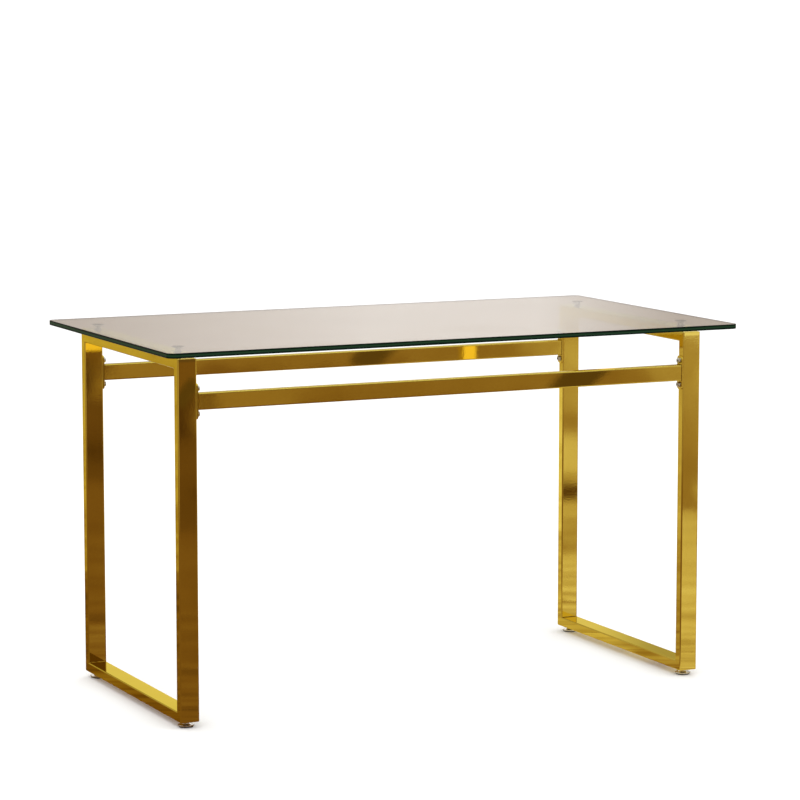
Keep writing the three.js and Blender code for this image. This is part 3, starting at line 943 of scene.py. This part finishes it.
def floor_through_glass_material():
    """Pale paint that turns into an even brown glow far from the table."""
    material, nodes = new_material("floor_through_glass_paint")
    nodes.set("Base Color", (0.93, 0.93, 0.93, 1))
    nodes.set("Roughness", 0.9)
    nodes.set("Specular IOR Level", 0.1)
    source = nodes.add("ShaderNodeTexCoord")
    reach = nodes.add("ShaderNodeVectorMath", operation="LENGTH")
    nodes.link(source.outputs["Object"], reach.inputs[0])
    far = nodes.between(reach.outputs["Value"], NEAR_FLOOR, FAR_FLOOR, 0.0, 1.0)
    brown = nodes.add("ShaderNodeEmission")
    brown.inputs["Color"].default_value = (0.50, 0.36, 0.26, 1)
    mixed = nodes.add("ShaderNodeMixShader")
    nodes.link(far, mixed.inputs["Fac"])
    nodes.link(nodes.shader.outputs["BSDF"], mixed.inputs[1])
    nodes.link(brown.outputs["Emission"], mixed.inputs[2])
    output = material.node_tree.nodes["Material Output"]
    nodes.link(mixed.outputs["Shader"], output.inputs["Surface"])
    material.cycles.emission_sampling = "NONE"
    return material


# Glowing cards, seen only in reflections. A patch is (left, right, near, far, gain, soft edge) in
# the card's own metres: it adds the gain to the card's level between those lines.
ROOM_TURN = math.radians(CAMERA_AZIMUTH)  # the floor card's own Y runs back and to the left
REFLECTED_FLOOR_SIZE = 60
REFLECTED_FLOOR_DROP = 4 * MM
FLOOR_LEVEL = 0.25
FLOOR_PATCHES = [
    # in front, right: sunlit, with darker stretches
    (0.25, 0.62, -2.62, -0.42, 0.55, 0.04),
    (0.62, 1.30, -1.02, -0.38, 0.55, 0.04),
    (0.64, 1.30, -2.40, -1.02, 0.34, 0.08),
    (0.65, 1.30, -1.84, -1.58, 0.16, 0.06),
    (0.65, 1.30, -2.15, -1.93, -0.46, 0.04),
    (0.66, 1.30, -3.14, -2.40, 0.62, 0.06),
    (0.72, 1.30, -3.97, -3.14, 0.28, 0.08),
    (0.74, 1.30, -3.68, -3.28, -0.12, 0.10),
    (0.865, 1.60, -5.30, -5.00, 0.20, 0.03),
    (0.885, 1.60, -5.60, -5.30, 0.20, 0.03),
    (0.905, 1.60, -6.02, -5.60, 0.20, 0.03),
    (0.80, 1.60, -5.00, -3.97, 0.32, 0.08),
    (0.28, 0.68, -2.95, -2.62, 0.15, 0.06),
    (0.28, 0.72, -3.97, -2.95, 0.15, 0.06),
    (0.28, 0.80, -5.00, -3.97, 0.20, 0.06),
    (0.58, 0.75, -7.50, -5.00, 0.13, 0.06),
    (0.75, 1.70, -7.50, -5.00, 0.28, 0.06),
    (1.70, 12.0, -12.0, -0.40, 0.45, 0.30),
    # in front, middle: even
    (-0.56, 0.58, -6.20, -5.00, 0.10, 0.06),
    # in front, left: dim, with dark furniture feet
    (-1.30, -0.55, -4.30, -2.25, -0.07, 0.15),
    (-1.30, -0.895, -5.25, -4.15, -0.13, 0.03),
    (-0.89, -0.56, -6.20, -4.30, 0.15, 0.03),
    (-0.79, -0.65, -3.00, -2.74, -0.08, 0.04),
    (-0.52, -0.30, -0.10, 0.60, 0.06, 0.08),
    (-12.0, -1.60, -12.0, -2.00, 0.45, 0.40),
    # behind
    (0.10, 0.46, -0.40, 1.26, 0.27, 0.08),
    (0.46, 0.75, -0.38, 1.33, 0.50, 0.08),
    (-9.0, -0.05, 1.68, 2.75, 0.25, 0.20),
    (-9.0, -0.05, 2.75, 30.0, 0.39, 0.20),
    (-0.05, 0.30, 1.26, 30.0, 0.43, 0.10),
    (0.30, 9.00, 1.33, 4.90, 0.75, 0.08),
    (0.30, 9.00, 4.90, 30.0, 0.53, 0.20),
]
PLANK = 0.19  # width of a floor board
SEAM = 0.10  # share of a board that its seam darkens
SEAM_LEVEL = 0.66
# Level to colour: brown in the dark parts, through tan, to white.
FLOOR_COLOURS = [
    (0.00, (0.010, 0.003, 0.001)),
    (0.12, (0.110, 0.055, 0.020)),
    (0.24, (0.240, 0.127, 0.042)),
    (0.40, (0.400, 0.270, 0.120)),
    (0.64, (0.640, 0.540, 0.350)),
    (0.82, (0.820, 0.730, 0.530)),
    (1.00, (1.000, 0.960, 0.900)),
]
BACK_WALL = (2.60, 0.965, 1.40, 2.50)  # width, height, middle x and y
BACK_WALL_LEVEL = 0.52
BACK_WALL_PATCHES = [
    (-1.60, 0.58, -1.00, 0.32, 0.46, 0.30),
    (-0.70, 0.60, 0.32, 1.00, 0.25, 0.30),
]
# Dark bars in front of the table: width, length, middle and lean from upright, towards +X.
DARK_BARS = [
    (0.075, 0.34, (0.84, -1.20, 0.55), 42),
    (0.032, 0.066, (-0.276, -1.00, 0.562), 38),
]
BAR_COLOUR = (0.13, 0.08, 0.03)
SUNSPOT = (2.60, 0.42, 1.40, 2.48)  # width, height, middle x and y of sunlight low on the back wall
SUNSPOT_COLOUR = (1.000, 0.980, 0.950)
SUNSPOT_STRENGTH = 1.6
FRONT_WALL = (12.0, 2.6, 7.2)  # width, height, distance
FRONT_WALL_LEVEL = 0.16
FRONT_WALL_PATCHES = [
    (0.45, 4.00, -3.00, 3.00, 0.80, 0.15),
    (-9.00, -2.00, -3.00, 3.00, 0.40, 0.40),
]
WALL_COLOURS = [
    (0.00, (0.010, 0.005, 0.002)),
    (0.20, (0.200, 0.120, 0.060)),
    (0.58, (0.580, 0.560, 0.520)),
    (1.00, (1.000, 0.980, 0.950)),
]


def smooth_step(nodes, value, start, stop):
    """0 at start, 1 at stop, with a smooth rise between them."""
    step = nodes.add("ShaderNodeMapRange", interpolation_type="SMOOTHSTEP")
    step.inputs["From Min"].default_value = start
    step.inputs["From Max"].default_value = stop
    nodes.link(value, step.inputs["Value"])
    return step.outputs["Result"]


def soft_band(nodes, value, start, stop, edge):
    """1 between start and stop, falling to 0 over the edge width on either side."""
    rising = smooth_step(nodes, value, start - edge / 2, start + edge / 2)
    falling = smooth_step(nodes, value, stop + edge / 2, stop - edge / 2)
    return nodes.math("MULTIPLY", rising, falling)


def glow_for(card):
    """Hides the card from all but reflections. Returns its nodes and its emission shader."""
    material = bpy.data.materials.new(f"{card.name}_glow")
    material.use_nodes = True
    material.node_tree.nodes.clear()
    material.cycles.emission_sampling = "NONE"
    nodes = Nodes(material.node_tree)
    glow = nodes.add("ShaderNodeEmission")
    output = nodes.add("ShaderNodeOutputMaterial")
    nodes.link(glow.outputs["Emission"], output.inputs["Surface"])
    card.data.materials.append(material)
    card.visible_camera = False
    card.visible_diffuse = False
    card.visible_transmission = False
    card.visible_shadow = False
    return nodes, glow


def plain_card(card, colour, strength=1.0):
    """Gives a card one even glow."""
    glow = glow_for(card)[1]
    glow.inputs["Color"].default_value = (*colour, 1)
    glow.inputs["Strength"].default_value = strength


def patched_card(card, level, patches, colours, plank=0):
    """Gives a card its patches of light, and boards of the given width if there is one."""
    nodes, glow = glow_for(card)
    source = nodes.add("ShaderNodeTexCoord")
    split = nodes.add("ShaderNodeSeparateXYZ")
    nodes.link(source.outputs["Object"], split.inputs["Vector"])
    for left, right, near, far, gain, edge in patches:
        sideways = soft_band(nodes, split.outputs["X"], left, right, edge)
        lengthways = soft_band(nodes, split.outputs["Y"], near, far, edge)
        both = nodes.math("MULTIPLY", sideways, lengthways)
        level = nodes.math("ADD", nodes.math("MULTIPLY", both, gain), level)
    if plank:
        grain = nodes.noise(14.0, detail=5.0, stretch=(0.10, 1, 1), roughness=0.7)
        level = nodes.math("MULTIPLY", level, nodes.between(grain, 0.3, 0.7, 0.56, 1.34))
        across = nodes.math("FRACT", nodes.math("DIVIDE", split.outputs["Y"], plank), 0.0)
        level = nodes.math("MULTIPLY", level, nodes.between(across, 0.0, SEAM, SEAM_LEVEL, 1.0))
    nodes.link(nodes.colours(level, colours), glow.inputs["Color"])


def upright_card(name, width, height, middle, turn, lean=0.0):
    """A card stood up, leant to one side and then turned, in radians."""
    card = plane(name, width, height, middle)
    card.rotation_euler = (math.pi / 2, lean, turn)
    return card


def build_reflected_room():
    """A warm floor, parts of two walls and two bars that only polished surfaces see."""
    floor = plane("reflected_floor", REFLECTED_FLOOR_SIZE, REFLECTED_FLOOR_SIZE,
                  (0, 0, -REFLECTED_FLOOR_DROP))
    floor.rotation_euler = (0, 0, ROOM_TURN)
    patched_card(floor, FLOOR_LEVEL, FLOOR_PATCHES, FLOOR_COLOURS, PLANK)

    width, height, x, y = BACK_WALL
    back = upright_card("reflected_back_wall", width, height, (x, y, height / 2), 0.0)
    patched_card(back, BACK_WALL_LEVEL, BACK_WALL_PATCHES, WALL_COLOURS)

    width, height, away = FRONT_WALL
    middle = (away * math.sin(ROOM_TURN), -away * math.cos(ROOM_TURN), height / 2)
    front = upright_card("reflected_front_wall", width, height, middle, ROOM_TURN)
    patched_card(front, FRONT_WALL_LEVEL, FRONT_WALL_PATCHES, WALL_COLOURS)

    for number, (width, length, middle, lean) in enumerate(DARK_BARS):
        name = f"reflected_bar_{number}"
        bar = upright_card(name, width, length, middle, ROOM_TURN, math.radians(lean))
        plain_card(bar, BAR_COLOUR)

    width, height, x, y = SUNSPOT
    sunspot = upright_card("reflected_sunspot", width, height, (x, y, height / 2), 0.0)
    plain_card(sunspot, SUNSPOT_COLOUR, SUNSPOT_STRENGTH)


# What polished surfaces see above the horizon, behind the table and in front of it: elevation in
# degrees and colour.
BACK_ROOM = [
    (0.0, (0.50, 0.442, 0.398)),
    (6.5, (0.50, 0.442, 0.398)),
    (8.0, (0.46, 0.400, 0.300)),
    (14.0, (0.52, 0.470, 0.400)),
    (30.0, (0.64, 0.615, 0.580)),
    (90.0, (0.66, 0.645, 0.620)),
]
FRONT_ROOM = [
    (0.0, (0.24, 0.140, 0.060)),
    (8.0, (0.30, 0.210, 0.120)),
    (16.0, (0.36, 0.290, 0.210)),
    (30.0, (0.48, 0.425, 0.355)),
    (90.0, (0.66, 0.645, 0.620)),
]
ROOM_TOP = 90.0
# A pale patch low on the back wall: where it starts and ends on either side, in degrees from +Y
# towards +X, its soft upper edge in degrees above the horizon, and how much it adds.
WINDOW_LEFT = (18.5, 25.0)
WINDOW_RIGHT = (30.6, 28.0)
WINDOW_TOP = (7.4, 6.4)
WINDOW_GAIN = 0.42
SIDE_BLEND = 0.35  # how far the back and front rooms run into each other at the sides
SKY = (1.25, 1.25, 1.25, 1)  # all but reflections: a little over white, so the floor stays white


def build_world():
    """White to the eye and as light; a warm, graded room in reflections."""
    world = bpy.data.worlds.new("studio")
    bpy.context.scene.world = world
    world.use_nodes = True
    world.cycles.sampling_method = "NONE"
    tree = world.node_tree
    tree.nodes.clear()
    nodes = Nodes(tree)
    output = nodes.add("ShaderNodeOutputWorld")
    background = nodes.add("ShaderNodeBackground")
    nodes.link(background.outputs["Background"], output.inputs["Surface"])
    source = nodes.add("ShaderNodeTexCoord")
    split = nodes.add("ShaderNodeSeparateXYZ")
    nodes.link(source.outputs["Generated"], split.inputs["Vector"])
    up = nodes.math("ARCSINE", split.outputs["Z"], 0.0)
    share = nodes.math("DIVIDE", up, math.radians(ROOM_TOP))
    back = nodes.colours(share, [(angle / ROOM_TOP, colour) for angle, colour in BACK_ROOM])
    front = nodes.colours(share, [(angle / ROOM_TOP, colour) for angle, colour in FRONT_ROOM])
    around = nodes.math("ARCTAN2", split.outputs["X"], split.outputs["Y"])
    window = nodes.math("MULTIPLY", degrees_between(nodes, around, WINDOW_LEFT),
                        degrees_between(nodes, around, WINDOW_RIGHT))
    window = nodes.math("MULTIPLY", window, degrees_between(nodes, up, WINDOW_TOP))
    lifted = mixed_colour(nodes, "ADD", WINDOW_GAIN, back, window)
    behind = nodes.between(split.outputs["Y"], -SIDE_BLEND, SIDE_BLEND, 0.0, 1.0)
    room = mixed_colour(nodes, "MIX", behind, front, lifted)
    path = nodes.add("ShaderNodeLightPath")
    seen = mixed_colour(nodes, "MIX", path.outputs["Is Glossy Ray"], SKY, room)
    nodes.link(seen, background.inputs["Color"])
    background.inputs["Strength"].default_value = 1.0


def degrees_between(nodes, angle, limits):
    """0 at the first limit, 1 at the second."""
    start, stop = limits
    return nodes.between(angle, math.radians(start), math.radians(stop), 0.0, 1.0)


def mixed_colour(nodes, blend, factor, first, second):
    """The two colours blended; each value is a number, a colour or another node's output."""
    mix = nodes.add("ShaderNodeMixRGB", blend_type=blend)
    for socket, value in zip(mix.inputs, (factor, first, second)):
        if isinstance(value, (int, float, tuple)):
            socket.default_value = value
        else:
            nodes.link(value, socket)
    return mix.outputs["Color"]


SOFTBOX_PLACE = (0.0, -0.5, 4.5)
SOFTBOX_AIM = (0, 0, 0)
SOFTBOX_SIZE = 7.0
SOFTBOX_POWER = 60


def build_softbox():
    """One large lamp overhead that polished surfaces don't mirror."""
    light = bpy.data.lights.new("top_softbox", "AREA")
    light.shape = "SQUARE"
    light.size = SOFTBOX_SIZE
    light.energy = SOFTBOX_POWER
    lamp = bpy.data.objects.new("top_softbox", light)
    lamp.location = SOFTBOX_PLACE
    lamp.rotation_mode = "QUATERNION"
    lamp.rotation_quaternion = (Vector(SOFTBOX_AIM) - lamp.location).to_track_quat("-Z", "Y")
    bpy.context.scene.collection.objects.link(lamp)
    lamp.visible_glossy = False


def build_camera():
    """The main view, from the front left."""
    data = bpy.data.cameras.new("camera")
    data.sensor_width = CAMERA_SENSOR
    data.lens = CAMERA_LENS
    data.clip_end = CAMERA_REACH
    camera = bpy.data.objects.new("camera", data)
    camera.location = CAMERA_PLACE
    azimuth, tilt = math.radians(CAMERA_AZIMUTH), math.radians(CAMERA_TILT)
    level_reach = math.cos(tilt)
    look = Vector((math.sin(azimuth) * level_reach, math.cos(azimuth) * level_reach, -math.sin(tilt)))
    camera.rotation_mode = "QUATERNION"
    camera.rotation_quaternion = look.to_track_quat("-Z", "Y")
    bpy.context.scene.collection.objects.link(camera)
    bpy.context.scene.camera = camera


# ==== the scene ====

build_camera()
build_glass()
for side_name, side in SIDES.items():
    build_end_frame(side_name)
    for end_name in ENDS:
        build_pad(f"{side_name}_{end_name}_pad")
for end_name in ENDS:
    build_rail(end_name)
    for side_name, side in SIDES.items():
        build_end_plate(end_name, side_name, side)
        build_foot(end_name, side_name)
        for level_name in LEVELS:
            build_bolt(end_name, side_name, side, level_name)
            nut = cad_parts[f"{end_name}_{side_name}_{level_name}_nut"]
            for slot in nut.material_slots:
                slot.material = ZINC

build_floor()
build_reflected_room()
build_world()
build_softbox()
bpy.context.scene.view_settings.view_transform = "Standard"
